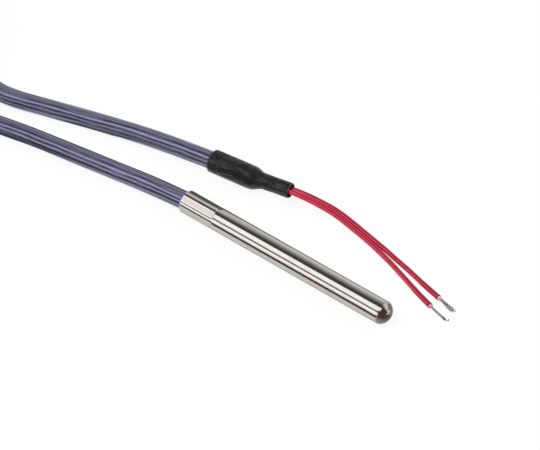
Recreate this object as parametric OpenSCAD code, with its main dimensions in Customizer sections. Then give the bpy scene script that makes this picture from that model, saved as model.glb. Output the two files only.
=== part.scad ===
// Cable temperature probe: a closed steel sheath crimped on to a screened cable,
// with the sensing element inside it and two bare-ended wires at the cable's other end.
// The slack of the cable is folded into a tied hank.
// Millimetres. The sheath lies along X with its tip at +X, on the plane Z = 0.

/* [Sheath] */
// Outside diameter of the sheath
sheath_d = 6; // [5.8:0.1:8]
// Length of the sheath, from its open end to the top of its domed tip
sheath_l = 65; // [60:1:120]
// Wall of the sheath
sheath_wall = 0.4; // [0.3:0.01:0.4]
// Height of the domed tip
tip_rise = 2.1; // [1:0.1:2.5]
// Thickness of the tip at its middle
tip_wall = 0.8; // [0.5:0.1:1.5]

/* [Crimp] */
// Length of the pressed flats, measured from the open end
crimp_l = 9.8; // [5:0.1:10]
// How far each flat is pressed below the round
crimp_depth = 0.135; // [0.05:0.005:0.135]
// Number of flats round the sheath
crimp_flats = 6; // [4:1:8]
// Turn of the flats about the sheath's axis, in degrees
crimp_turn = 4; // [0:1:59]
// Radius of the pressing jaws' edges
jaw_round = 3; // [0.5:0.1:5]
// Radius of the edge of the one jaw that leaves a hard step
sharp_jaw_round = 0.4; // [0.2:0.1:2]

/* [Cable] */
// Outside diameter of the cable
cable_d = 4.8; // [4:0.1:4.8]
// How far the cable's end lies inside the sheath
cable_in_sheath = 11; // [10.6:0.1:13]
// Outside diameter of the red wires
wire_d = 1.4; // [1.2:0.05:1.5]
// Diameter of the stranded conductors
conductor_d = 0.7; // [0.4:0.05:0.72]
// Outside diameter of the screen under the jacket
screen_d = 3.5; // [3.3:0.1:3.9]
// Length of screen that shows past each end of the jacket
screen_stub_l = 1.6; // [0.8:0.1:2]

/* [Hank] */
// Radius of the hank's folds, to the middle of the innermost run of cable
hank_fold_r = 14.4; // [13:0.1:15]
// Length of the hank's straight sides
hank_side_l = 30; // [20:1:60]
// Width of the ties
tie_w = 4; // [2:0.5:8]
// Thickness of the ties
tie_t = 0.6; // [0.4:0.1:0.8]

/* [Black sleeve] */
// Wall of the sleeve where it grips the cable
sleeve_wall = 0.6; // [0.4:0.05:0.7]
// Wall of the sleeve where it narrows on to the wires
sleeve_neck_wall = 0.42; // [0.3:0.02:0.6]
// Room round the two wires inside the narrow part
sleeve_neck_room = 0.21; // [0.2:0.01:0.5]

/* [Sensing element] */
// Length of the ceramic chip
chip_l = 4; // [2:0.1:5]
// Width of the ceramic chip
chip_w = 2.2; // [1.8:0.1:2.6]
// Thickness of the ceramic chip
chip_t = 0.65; // [0.4:0.05:1]
// Thickness of the glass over the film
glaze_t = 0.2; // [0.1:0.05:0.4]
// Length of the drop that fixes the leads
bead_l = 1.2; // [0.8:0.1:1.6]
// Height of the drop that fixes the leads
bead_h = 0.6; // [0.5:0.05:0.9]
// Diameter of the chip's leads
lead_d = 0.25; // [0.15:0.01:0.3]
// Length of the chip's leads
lead_l = 10; // [9.5:0.1:11]
// Distance between the chip's leads
lead_pitch = 1.2; // [0.9:0.05:1.3]
// Distance from the chip to the inside of the tip
chip_gap = 1.5; // [1:0.1:3]
// Length of the heat-conducting filling, from the inside of the tip
cement_l = 10.5; // [8:0.1:12]

/* [Joints inside] */
// Outside diameter of the tubes over the leads
lead_tube_d = 0.8; // [0.6:0.05:0.85]
// Length of the tubes over the leads
lead_tube_l = 5.6; // [4:0.1:6]
// Outside diameter of the splicing ferrules
splice_d = 1.2; // [1.1:0.02:1.2]
// Wall of the splicing ferrules
splice_wall = 0.18; // [0.1:0.01:0.18]
// Length of the splicing ferrules
splice_l = 5; // [4:0.1:6]
// Wall of the sleeves over the ferrules
splice_sleeve_wall = 0.08; // [0.05:0.01:0.08]
// Length of the sleeves over the ferrules, from the insulation's end
splice_sleeve_l = 6.6; // [6.4:0.1:7.4]
// Length of bare conductor ahead of the insulation
strip_l = 3.6; // [2.5:0.1:4]
// Length of the resin seal behind the cable's end
seal_l = 6; // [3:0.5:12]

/* [Bare wire ends] */
// Diameter of one strand
strand_d = 0.19; // [0.1:0.01:0.2]
// How wide the splayed end opens, each side of its middle
splay = 0.55; // [0.2:0.05:0.6]

/* [Hidden] */
$fn = 64;

// Clearance between pieces that fit one another
fit = 0.02;
// Clearance between runs of the hank
turn_gap = 0.1;
// Clearance between the strands of a bundle
strand_gap = 0.03;
// Clearance between end faces that meet
face_gap = 0.01;
// Oversize of a cutting tool past the face that it cuts
over = 1;

sheath_r = sheath_d / 2;
bore_r = sheath_r - sheath_wall;
mouth_x = -sheath_l / 2;
tip_x = sheath_l / 2;
bore_end_x = tip_x - tip_wall;
flat_h = sheath_r - crimp_depth;

cable_r = cable_d / 2;
cable_end_x = mouth_x + cable_in_sheath;
wire_pitch = wire_d + 3 * fit;
screen_bore_r = (wire_pitch + wire_d) / 2 + fit;

// The chip sits below the axis, so that its leads run level with the wires
chip_front_x = bore_end_x - chip_gap;
chip_back_x = chip_front_x - chip_l;
chip_top_z = -lead_d / 2;
lead_front_x = chip_back_x + bead_l - 0.2;
lead_back_x = lead_front_x - lead_l;
lead_tube_front_x = chip_back_x - 0.3;
cement_back_x = bore_end_x - cement_l;
splice_front_x = lead_back_x + splice_l / 2 - 0.3;
splice_back_x = splice_front_x - splice_l;
core_front_x = lead_back_x - 0.6;
wire_front_x = core_front_x - strip_l;
splice_sleeve_r = splice_d / 2 + fit + splice_sleeve_wall;
splice_sleeve_back_x = wire_front_x + face_gap;
splice_sleeve_front_x = splice_sleeve_back_x + splice_sleeve_l;
seal_back_x = cable_end_x + screen_stub_l + 0.4;

// The hank: two columns of cable, three rows high, that rest on the ties under them.
// hank_middle is the middle of its near fold, from the floor below the sheath's open end.
turn_pitch = cable_d + turn_gap;
hank_rows = 3;
hank_middle = [-103, 1.6, 0];
hank_outer_r = hank_fold_r + turn_pitch;
row_z = [for (k = [0:hank_rows - 1]) tie_t + fit + cable_r + k * turn_pitch];
hank_tail_angle = 45;
hank_lead = 5;
// The outer column leaves this part of the near fold free, where the two runs pass
outer_column_from = -44;
outer_column_to = 2;

// Routes. Every point is measured from the floor below the sheath's open end.
lie = cable_r;
probe_route = [
    [cable_in_sheath, 0, sheath_r],
    [0, 0, sheath_r],
    [-4, -0.3, 2.9],
    [-12, -0.9, 2.6],
    [-20, -2, lie],
    [-29, -3.4, lie],
    [-38, -4.8, lie],
    [-48, -6.4, lie],
    [-57, -8.3, lie],
    [-66, -10.5, lie],
    [-75, -13.2, lie],
    [-84, -15.9, 2.6],
    [-92, -17.4, 2.9],
    fold_point(-90, row_z[0]) - hank_lead * fold_heading(-90),
    fold_point(-90, row_z[0]) - face_gap * fold_heading(-90)
];
tail_route = [
    [6, 17.25, 3.05],
    [-5.1, 15.85, 3.05],
    [-10.5, 15, 2.9],
    [-17, 14, 2.65],
    [-25, 12.5, lie],
    [-34, 10, lie],
    [-43, 7.3, lie],
    [-52, 4.5, lie],
    [-60, 2, lie],
    [-66, 1.2, 2.6],
    [-71, 2, 3.2],
    [-76, 4, 4.3],
    [-81, 7.4, 5.9],
    fold_point(hank_tail_angle, row_z[1]) + hank_lead * fold_heading(hank_tail_angle),
    fold_point(hank_tail_angle, row_z[1]) + face_gap * fold_heading(hank_tail_angle)
];
wire_a_route = [
    cable_exit(1, 0),
    cable_exit(1, screen_stub_l + 2 * fit),
    [10, 18.75, 3.2],
    [14, 19.55, 3.2],
    [17.8, 20.3, 3.2],
    [20.4, 21, 2.95],
    [22.9, 21.7, 2.5],
    [25.4, 22.2, 2.05],
    [27.9, 22.7, 1.6],
    [30.6, 22.9, 1.1],
    [33.4, 22.7, 0.8],
    [36.4, 22.2, 0.7],
    [39.3, 21.6, 0.7],
    [42.3, 21, 0.7],
    [45, 20.4, 0.7],
    [48.4, 19.7, 0.7],
    [51.6, 18.9, 0.7],
    [56.3, 17.8, 0.7],
    [62.4, 16.2, 0.7],
    [68.3, 14.8, 0.7]
];
wire_b_route = [
    cable_exit(-1, 0),
    cable_exit(-1, screen_stub_l + 2 * fit),
    [10, 17.28, 3.2],
    [14, 18.1, 3.4],
    [17.8, 18.95, 3.55],
    [20.6, 19.6, 3.2],
    [23.1, 20.3, 2.7],
    [25.6, 20.8, 2.15],
    [28.1, 21.3, 1.6],
    [30.6, 21.5, 1.1],
    [33.2, 21.3, 0.8],
    [36.2, 20.75, 0.7],
    [39.1, 20.2, 0.7],
    [42, 19.6, 0.7],
    [44.4, 19, 0.7],
    [47.3, 18.2, 0.7],
    [50.4, 17.3, 0.7],
    [56, 15.4, 0.7],
    [62.5, 13.1, 0.7],
    [68.5, 11.2, 0.7]
];

// The sleeve's middle line, and the share of its way from the wide part to the narrow one
sleeve_route = [
    [-5.1, 15.85, 3.05, 0],
    [1, 16.62, 3.05, 0],
    [6.4, 17.3, 3.05, 0],
    [7.4, 17.45, 3.07, 0.1],
    [8.2, 17.6, 3.1, 0.4],
    [9, 17.75, 3.14, 0.75],
    [10, 18, 3.2, 0.95],
    [11.5, 18.3, 3.22, 1],
    [14.5, 18.9, 3.27, 1],
    [17.8, 19.5, 3.3, 1]
];

// Bare ends: where each bundle heads, as the control points of a curve
bare_a = [past_end(wire_a_route, 2 * fit), past_end(wire_a_route, 2), [72.5, 13.8, 0.45], [74, 13.6, 0.42]];
bare_b = [past_end(wire_b_route, 2 * fit), past_end(wire_b_route, 2), [72.2, 10.4, 0.42], [74.2, 10, 0.32]];
bare_steps = 10;
bare_turn = 32;

cable_sides = 10;
wire_sides = 8;
strand_sides = 6;
sleeve_sides = 24;

// ---- Functions --------------------------------------------------------------------------

function unit(v) = v / norm(v);

// Direction of travel at point i of a route
function heading(route, i) =
    unit(point(route, min(i + 1, len(route) - 1)) - point(route, max(i - 1, 0)));

// Point i of a route as X, Y, Z
function point(route, i) = [route[i].x, route[i].y, route[i].z];

// Level direction to the left of travel, and the direction square to both
function left_of(t) = unit(cross([0, 0, 1], t));
function top_of(t) = cross(t, left_of(t));

// A ring of points round a middle, square to the direction t, with one point at the bottom
function ring(middle, t, r, sides) = [
    for (k = [0:sides - 1])
        let (a = 360 * k / sides)
        middle + r * (sin(a) * left_of(t) - cos(a) * top_of(t))
];

// A point on a wire's middle line past the cable's tail end, to the left or right of it
function cable_exit(side, ahead) =
    let (way = -heading(tail_route, 0))
    tail_route[0] + side * wire_pitch / 2 * left_of(way) + ahead * way;

// A point straight past the end of a route
function past_end(route, ahead) = route[len(route) - 1] + ahead * heading(route, len(route) - 1);

// A point on the outer column of the hank's near fold, and the direction of travel there
function fold_point(a, z) = hank_middle + [hank_outer_r * cos(a), hank_outer_r * sin(a), z];
function fold_heading(a) = [sin(a), -cos(a), 0];

// A point on a curve with four control points
function curve(c, u) =
    pow(1 - u, 3) * c[0] + 3 * pow(1 - u, 2) * u * c[1] + 3 * (1 - u) * u * u * c[2] + pow(u, 3) * c[3];
function curve_route(c, steps) = [for (i = [0:steps]) curve(c, i / steps)];

// One strand of a bundle: it winds about the bundle's middle line as it goes,
// and opens by `spread` towards the end. The bundle is flattened by `flat`.
function strand_route(middle, k, count, spread, flat, steps) = [
    for (i = [0:steps])
        let (
            t = heading(middle, i),
            a = 360 * k / count + bare_turn * i,
            r = strand_d + strand_gap + spread * pow(i / bare_steps, 1.5),
            h = i == 0 ? 1 : 1 - (1 - flat) * i / bare_steps
        )
        point(middle, i) + r * (cos(a) * left_of(t) + h * sin(a) * top_of(t))
];

// ---- Building blocks --------------------------------------------------------------------

// A closed skin over a row of rings. `looped` joins the last ring to the first.
module skin(rings, looped = false) {
    count = len(rings);
    sides = len(rings[0]);
    last = looped ? count - 1 : count - 2;
    walls = [
        for (j = [0:last], k = [0:sides - 1])
            let (
                n = (j + 1) % count,
                m = (k + 1) % sides
            )
            each [
                [j * sides + k, n * sides + k, n * sides + m],
                [j * sides + k, n * sides + m, j * sides + m]
            ]
    ];
    caps = looped ? [] : [
        [for (k = [0:sides - 1]) k],
        [for (k = [sides - 1:-1:0]) (count - 1) * sides + k]
    ];
    polyhedron(points = [for (r = rings) each r], faces = concat(walls, caps), convexity = 6);
}

module tube(route, r, sides) {
    skin([for (i = [0:len(route) - 1]) ring(point(route, i), heading(route, i), r, sides)]);
}

// A round bar along X, from x0 to x1, at the height of the sheath's axis
module bar(x0, x1, r, y = 0) {
    translate([x0, y, sheath_r])
    rotate([0, 90, 0])
    cylinder(h = x1 - x0, r = r);
}

module pipe(x0, x1, r, wall, y = 0) {
    difference() {
        bar(x0, x1, r, y);
        bar(x0 - over, x1 + over, r - wall, y);
    }
}

// A block along X with its middle on the sheath's axis in Y, and z measured from that axis
module block(x0, x1, w, z0, z1, grow = 0) {
    translate([x0 - grow, -w / 2 - grow, sheath_r + z0 - grow])
    cube([x1 - x0 + 2 * grow, w + 2 * grow, z1 - z0 + 2 * grow]);
}

// A round bar along X that ends in a dome of the given rise
module domed_bar(x0, x1, r, rise) {
    ball_r = (r * r + rise * rise) / (2 * rise);
    bar(x0, x1 - rise, r);
    intersection() {
        translate([x1 - ball_r, 0, sheath_r])
        rotate([0, 90, 0])
        sphere(r = ball_r, $fn = 96);
        bar(x1 - rise - 0.01, x1 + over, r);
    }
}

// What the pressing jaws take away: a flat and the round that ends it, for each jaw.
// `grow` sets the jaws back by the wall, which gives the inside of the crimp.
module jaws(grow) {
    for (k = [0:crimp_flats - 1]) {
        edge_r = (k == 2 ? sharp_jaw_round : jaw_round) + grow;
        translate([0, 0, sheath_r])
        rotate([crimp_turn + 360 * k / crimp_flats - 90, 0, 0])
        translate([mouth_x, 0, flat_h - grow]) {
            translate([-over, -sheath_r, 0])
            cube([crimp_l + over, sheath_d, sheath_r]);
            translate([crimp_l, 0, edge_r])
            rotate([90, 0, 0])
            cylinder(h = sheath_d, r = edge_r, center = true);
        }
    }
}

// The space inside the sheath: round, with the crimp's flats standing into it
module sheath_space() {
    difference() {
        domed_bar(mouth_x - over, bore_end_x, bore_r, tip_rise * bore_r / sheath_r);
        jaws(sheath_wall);
    }
}

// ---- Sub-parts --------------------------------------------------------------------------

module sheath() {
    color([0.72, 0.7, 0.67])
    difference() {
        domed_bar(mouth_x, tip_x, sheath_r, tip_rise);
        jaws(0);
        sheath_space();
    }
}

module chip_block(grow = 0) {
    block(chip_back_x, chip_front_x, chip_w, chip_top_z - chip_t, chip_top_z, grow);
}

module glaze_block(grow = 0) {
    block(chip_back_x + bead_l, chip_front_x - 0.1, chip_w - 0.2, chip_top_z, chip_top_z + glaze_t, grow);
}

module bead_block(grow = 0) {
    block(chip_back_x, chip_back_x + bead_l, chip_w - 0.3, chip_top_z, chip_top_z + bead_h, grow);
}

module sensor_chip() {
    color([0.93, 0.92, 0.88])
    chip_block();
}

module sensor_glaze() {
    color([0.35, 0.45, 0.62])
    glaze_block();
}

module sensor_bead() {
    color([0.86, 0.86, 0.8])
    difference() {
        bead_block();
        for (side = [-1, 1])
            bar(lead_back_x, lead_front_x + fit, lead_d / 2 + fit, side * lead_pitch / 2);
    }
}

module sensor_lead(side) {
    color([0.85, 0.85, 0.86])
    bar(lead_back_x, lead_front_x, lead_d / 2, side * lead_pitch / 2);
}

module lead_sleeve(side) {
    color([0.95, 0.95, 0.93])
    difference() {
        bar(lead_tube_front_x - lead_tube_l, lead_tube_front_x, lead_tube_d / 2, side * lead_pitch / 2);
        bar(lead_back_x, lead_front_x, lead_d / 2 + fit, side * lead_pitch / 2);
    }
}

module tip_cement() {
    color([0.82, 0.8, 0.74])
    difference() {
        intersection() {
            domed_bar(mouth_x, bore_end_x - fit, bore_r - fit, tip_rise * bore_r / sheath_r);
            bar(cement_back_x, tip_x, sheath_r);
        }
        chip_block(fit);
        glaze_block(fit);
        bead_block(fit);
        for (side = [-1, 1]) {
            bar(cement_back_x - over, lead_tube_front_x + fit, lead_tube_d / 2 + fit, side * lead_pitch / 2);
            bar(cement_back_x - over, lead_front_x, lead_d / 2 + fit, side * lead_pitch / 2);
            bar(splice_sleeve_back_x, splice_sleeve_front_x + fit, splice_sleeve_r + fit, side * wire_pitch / 2);
        }
    }
}

module splice(side) {
    color([0.8, 0.68, 0.4])
    pipe(splice_back_x, splice_front_x, splice_d / 2, splice_wall, side * wire_pitch / 2);
}

module splice_sleeve(side) {
    color([0.75, 0.5, 0.2])
    pipe(splice_sleeve_back_x, splice_sleeve_front_x, splice_sleeve_r, splice_sleeve_wall,
        side * wire_pitch / 2);
}

module probe_core(side) {
    color([0.78, 0.77, 0.75])
    bar(cable_end_x, core_front_x, conductor_d / 2, side * wire_pitch / 2);
}

module probe_wire(side) {
    color([0.78, 0.12, 0.2])
    difference() {
        bar(cable_end_x, wire_front_x, wire_d / 2, side * wire_pitch / 2);
        bar(cable_end_x - over, wire_front_x + over, conductor_d / 2 + fit, side * wire_pitch / 2);
    }
}

module probe_seal() {
    color([0.2, 0.2, 0.22])
    difference() {
        bar(seal_back_x, seal_back_x + seal_l, bore_r - fit);
        for (side = [-1, 1])
            bar(seal_back_x - over, seal_back_x + seal_l + over, wire_d / 2 + fit, side * wire_pitch / 2);
    }
}

module probe_screen_end() {
    color([0.7, 0.7, 0.72])
    pipe(cable_end_x, cable_end_x + screen_stub_l, screen_d / 2, screen_d / 2 - screen_bore_r);
}

module cable_run_probe() {
    color([0.42, 0.42, 0.56])
    translate([mouth_x, 0, 0])
    tube(probe_route, cable_r, cable_sides);
}

module cable_run_tail() {
    color([0.42, 0.42, 0.56])
    translate([mouth_x, 0, 0])
    tube(tail_route, cable_r, cable_sides);
}

// An outline with straight sides and round ends of radius r about the hank's two fold middles
module hank_outline(r) {
    circle(r = r);
    translate([-hank_side_l, 0])
    circle(r = r);
    translate([-hank_side_l, -r])
    square([hank_side_l, 2 * r]);
}

// The stretch of the near fold from angle a0 to a1 that the outer column of runs leaves free
module hank_opening(a0, a1) {
    inner_edge_r = hank_fold_r + cable_r;
    reach = 2 * hank_outer_r;
    difference() {
        polygon([
            [0, 0],
            reach * [cos(a0), sin(a0)],
            reach * [cos((a0 + a1) / 2), sin((a0 + a1) / 2)],
            reach * [cos(a1), sin(a1)]
        ]);
        circle(r = inner_edge_r);
    }
}

module cable_hank() {
    color([0.42, 0.42, 0.56])
    translate([mouth_x, 0, 0] + hank_middle + [0, 0, row_z[0] - cable_r])
    linear_extrude(row_z[hank_rows - 1] - row_z[0] + cable_d)
    difference() {
        hank_outline(hank_outer_r + cable_r);
        hank_outline(hank_fold_r - cable_r);
        hank_opening(-90, outer_column_from);
        hank_opening(outer_column_to, hank_tail_angle);
    }
}

// A flat band round one side of the hank, on the side given by `side`
module hank_tie(side) {
    side_w = hank_outer_r - hank_fold_r + cable_d + 2 * fit;
    side_h = row_z[hank_rows - 1] - row_z[0] + cable_d + 2 * fit;
    side_y = side * (hank_outer_r + hank_fold_r) / 2;
    color([0.9, 0.9, 0.88])
    translate([mouth_x - hank_side_l / 2, side_y, tie_t + side_h / 2] + hank_middle)
    difference() {
        cube([tie_w, side_w + 2 * tie_t, side_h + 2 * tie_t], center = true);
        cube([tie_w + 2 * over, side_w, side_h], center = true);
    }
}

module tail_screen_end() {
    start = point(tail_route, 0);
    way = unit(start - point(tail_route, 1));
    color([0.7, 0.7, 0.72])
    translate([mouth_x, 0, 0] + start)
    rotate([0, 90, atan2(way.y, way.x)])
    difference() {
        cylinder(h = screen_stub_l, r = screen_d / 2);
        translate([0, 0, -over])
        cylinder(h = screen_stub_l + 2 * over, r = screen_bore_r);
    }
}

module tail_sleeve() {
    last = len(sleeve_route) - 1;
    wide_r = cable_r + 2 * fit;
    neck_r = wire_d + sleeve_neck_room;
    outer = [
        for (i = [0:last])
            let (share = sleeve_route[i][3])
            ring(point(sleeve_route, i), heading(sleeve_route, i),
                (1 - share) * (wide_r + sleeve_wall) + share * (neck_r + sleeve_neck_wall), sleeve_sides)
    ];
    inner = [
        for (i = [last:-1:0])
            let (share = sleeve_route[i][3])
            ring(point(sleeve_route, i), heading(sleeve_route, i),
                (1 - share) * wide_r + share * neck_r, sleeve_sides)
    ];
    color([0.14, 0.14, 0.15])
    translate([mouth_x, 0, 0])
    skin(concat(outer, inner), looped = true);
}

module tail_wire(route) {
    color([0.78, 0.12, 0.2])
    translate([mouth_x, 0, 0])
    tube(route, wire_d / 2, wire_sides);
}

// The splayed end: a loosened bundle whose strands end one after another
module tail_strands_a() {
    middle = curve_route(bare_a, bare_steps);
    color([0.5, 0.46, 0.46])
    translate([mouth_x, 0, 0]) {
        tube(middle, strand_d / 2, strand_sides);
        for (k = [0:5])
            tube(strand_route(middle, k, 6, splay, 0.4, bare_steps - k % 3), strand_d / 2, strand_sides);
    }
}

// The twisted end: a tight bundle whose middle strand curls back in a small hook
module tail_strands_b() {
    middle = curve_route(bare_b, bare_steps);
    end = middle[bare_steps];
    way = heading(middle, bare_steps);
    hook_r = 0.34;
    hook = [
        for (a = [30:30:210])
            end + 0.25 * way + hook_r * (sin(a) * way + (1 - cos(a)) * left_of(way))
    ];
    color([0.55, 0.55, 0.55])
    translate([mouth_x, 0, 0]) {
        tube(concat(middle, hook), strand_d / 2, strand_sides);
        for (k = [0:5])
            tube(strand_route(middle, k, 6, 0, 1, bare_steps - k % 2), strand_d / 2, strand_sides);
    }
}

sheath();
sensor_chip();
sensor_glaze();
sensor_bead();
sensor_lead(1);  // sensor_lead_a
sensor_lead(-1);  // sensor_lead_b
lead_sleeve(1);  // lead_sleeve_a
lead_sleeve(-1);  // lead_sleeve_b
tip_cement();
splice(1);  // splice_a
splice(-1);  // splice_b
splice_sleeve(1);  // splice_sleeve_a
splice_sleeve(-1);  // splice_sleeve_b
probe_core(1);  // probe_core_a
probe_core(-1);  // probe_core_b
probe_wire(1);  // probe_wire_a
probe_wire(-1);  // probe_wire_b
probe_seal();
probe_screen_end();
cable_run_probe();
cable_hank();
cable_run_tail();
hank_tie(1);  // hank_tie_a
hank_tie(-1);  // hank_tie_b
tail_screen_end();
tail_sleeve();
tail_wire(wire_a_route);  // tail_wire_a
tail_wire(wire_b_route);  // tail_wire_b
tail_strands_a();
tail_strands_b();
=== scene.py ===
"""Cable temperature probe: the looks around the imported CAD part. Metres, in the CAD frame.

The probe lies along X on the floor. Its cable leaves the sheath's mouth towards -X, is folded
into a tied hank, comes back and ends in a black sleeve with two red bare-ended wires.
"""
import math

import bmesh
import bpy
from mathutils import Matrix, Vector, noise


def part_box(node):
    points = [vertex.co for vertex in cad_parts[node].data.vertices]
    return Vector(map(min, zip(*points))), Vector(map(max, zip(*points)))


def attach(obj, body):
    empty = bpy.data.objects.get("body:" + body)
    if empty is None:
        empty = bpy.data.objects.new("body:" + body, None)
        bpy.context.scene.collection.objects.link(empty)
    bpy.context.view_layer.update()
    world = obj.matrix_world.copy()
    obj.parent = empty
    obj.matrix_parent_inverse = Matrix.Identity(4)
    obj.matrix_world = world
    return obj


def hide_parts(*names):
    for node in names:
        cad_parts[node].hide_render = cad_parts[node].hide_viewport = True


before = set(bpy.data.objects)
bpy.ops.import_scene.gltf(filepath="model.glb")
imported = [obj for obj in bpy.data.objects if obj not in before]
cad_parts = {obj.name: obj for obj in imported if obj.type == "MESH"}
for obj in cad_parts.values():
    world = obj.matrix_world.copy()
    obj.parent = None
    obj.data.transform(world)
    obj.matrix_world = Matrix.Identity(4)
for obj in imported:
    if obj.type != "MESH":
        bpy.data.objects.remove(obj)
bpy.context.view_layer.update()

MM = 0.001


# ---- Sizes from the frame -------------------------------------------------------------------

SHEATH_LOW, SHEATH_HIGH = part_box("sheath")
MOUTH_X = SHEATH_LOW.x
TIP_X = SHEATH_HIGH.x
SHEATH_R = (SHEATH_HIGH.y - SHEATH_LOW.y) / 2
AXIS_Z = SHEATH_LOW.z + SHEATH_R


# ---- Camera ---------------------------------------------------------------------------------

def add_camera():
    """A long lens, looking down on the probe from its front right."""
    azimuth, elevation = math.radians(40.29), math.radians(41.65)
    look_at, distance = Vector((-0.01093, 0.00661, 0.003)), 1.0
    back = Vector((
        math.sin(azimuth) * math.cos(elevation),
        -math.cos(azimuth) * math.cos(elevation),
        math.sin(elevation),
    ))
    data = bpy.data.cameras.new("camera")
    data.lens, data.sensor_width = 270.5, 36.0
    data.clip_start, data.clip_end = 0.05, 20.0
    camera = bpy.data.objects.new("camera", data)
    camera.location = look_at + distance * back
    camera.rotation_mode = "QUATERNION"
    camera.rotation_quaternion = (-back).to_track_quat("-Z", "Y")
    bpy.context.scene.collection.objects.link(camera)
    bpy.context.scene.camera = camera


# ---- Routes of the cable and the wires ------------------------------------------------------
# The points are in millimetres from the floor below the sheath's mouth, as in the CAD part.

CABLE_R = 2.4 * MM
WIRE_R = 0.7 * MM
HANK_LOW, HANK_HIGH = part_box("cable_hank")
HANK_EDGE_R = (HANK_HIGH.y - HANK_LOW.y) / 2 / MM
HANK_MIDDLE = Vector((
    (HANK_HIGH.x - MOUTH_X) / MM - HANK_EDGE_R,
    (HANK_HIGH.y + HANK_LOW.y) / 2 / MM,
    HANK_LOW.z / MM + CABLE_R / MM,
))
HANK_SIDE_L = (HANK_HIGH.x - HANK_LOW.x) / MM - 2 * HANK_EDGE_R
TURN_PITCH = 4.9
OUTER_R = HANK_EDGE_R - CABLE_R / MM
INNER_R = OUTER_R - TURN_PITCH
HANK_LEAD = 5.0
# Where the cable changes its place in the hank: quarter runs from the start, then the column,
# 1 for the outer and 0 for the inner, and the row, from the floor up
HANK_PLACES = [
    (0, 1, 0), (3, 1, 0), (4, 0, 0), (6, 0, 0), (7, 0, 1), (9, 0, 1), (10, 0, 2), (12, 0, 2),
    (13, 1, 2), (15.45, 1, 2), (16, 1, 1), (19.25, 1, 1),
]

PROBE_ROUTE = [
    (11, 0, 3), (0, 0, 3), (-4, -0.3, 2.9), (-12, -0.9, 2.6), (-20, -2, 2.4), (-29, -3.4, 2.4),
    (-38, -4.8, 2.4), (-48, -6.4, 2.4), (-57, -8.3, 2.4), (-66, -10.5, 2.4), (-75, -13.2, 2.4),
    (-84, -15.9, 2.6), (-92, -17.4, 2.9),
]
TAIL_ROUTE = [
    (6, 17.25, 3.05), (-5.1, 15.85, 3.05), (-10.5, 15, 2.9), (-17, 14, 2.65), (-25, 12.5, 2.4),
    (-34, 10, 2.4), (-43, 7.3, 2.4), (-52, 4.5, 2.4), (-60, 2, 2.4), (-66, 1.2, 2.6),
    (-71, 2, 3.2), (-76, 4, 4.3), (-81, 7.4, 5.9),
]
WIRE_A_ROUTE = [
    (10, 18.75, 3.2), (14, 19.55, 3.2), (17.8, 20.3, 3.2), (20.4, 21, 2.95), (22.9, 21.7, 2.5),
    (25.4, 22.2, 2.05), (27.9, 22.7, 1.6), (30.6, 22.9, 1.1), (33.4, 22.7, 0.8), (36.4, 22.2, 0.7),
    (39.3, 21.6, 0.7), (42.3, 21, 0.7), (45, 20.4, 0.7), (48.4, 19.7, 0.7), (51.6, 18.9, 0.7),
    (56.3, 17.8, 0.7), (62.4, 16.2, 0.7), (68.3, 14.8, 0.7),
]
WIRE_B_ROUTE = [
    (10, 17.28, 3.2), (14, 18.1, 3.4), (17.8, 18.95, 3.55), (20.6, 19.6, 3.2), (23.1, 20.3, 2.7),
    (25.6, 20.8, 2.15), (28.1, 21.3, 1.6), (30.6, 21.5, 1.1), (33.2, 21.3, 0.8), (36.2, 20.75, 0.7),
    (39.1, 20.2, 0.7), (42, 19.6, 0.7), (44.4, 19, 0.7), (47.3, 18.2, 0.7), (50.4, 17.3, 0.7),
    (56, 15.4, 0.7), (62.5, 13.1, 0.7), (68.5, 11.2, 0.7),
]
# Each point of the sleeve ends with its share of the neck: 0 on the cable and 1 on the wires
SLEEVE_ROUTE = [
    (-5.1, 15.85, 3.05, 0), (1, 16.62, 3.05, 0), (6.4, 17.3, 3.05, 0), (7.4, 17.45, 3.07, 0.1),
    (8.2, 17.6, 3.1, 0.4), (9, 17.75, 3.14, 0.75), (10, 18, 3.2, 0.95), (11.5, 18.3, 3.22, 1),
    (14.5, 18.9, 3.27, 1), (17.8, 19.5, 3.3, 1),
]


def to_frame(points):
    """Route points in millimetres from the mouth, as vectors in metres in the CAD frame."""
    return [Vector((MOUTH_X + p[0] * MM, p[1] * MM, p[2] * MM)) for p in points]


def spline(points, step):
    """Points spaced about `step` apart on a smooth curve through the given ones."""
    ends = [2 * points[0] - points[1], *points, 2 * points[-1] - points[-2]]
    curve = []
    for p0, p1, p2, p3 in zip(ends, ends[1:], ends[2:], ends[3:]):
        d01, d12, d23 = (max((b - a).length, 1e-9) ** 0.5 for a, b in ((p0, p1), (p1, p2), (p2, p3)))
        m1 = (p2 - p1) + d12 * ((p1 - p0) / d01 - (p2 - p0) / (d01 + d12))
        m2 = (p2 - p1) + d12 * ((p3 - p2) / d23 - (p3 - p1) / (d12 + d23))
        count = max(1, round((p2 - p1).length / step))
        for i in range(count):
            u = i / count
            curve.append(
                (2 * u ** 3 - 3 * u ** 2 + 1) * p1 + (u ** 3 - 2 * u ** 2 + u) * m1
                + (3 * u ** 2 - 2 * u ** 3) * p2 + (u ** 3 - u ** 2) * m2
            )
    return [*curve, points[-1].copy()]


def smoothed(points, passes):
    """The same points, eased towards their neighbours that many times. The ends stay."""
    for _ in range(passes):
        inner = [(a + 2 * b + c) / 4 for a, b, c in zip(points, points[1:], points[2:])]
        points = [points[0], *inner, points[-1]]
    return points


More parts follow.
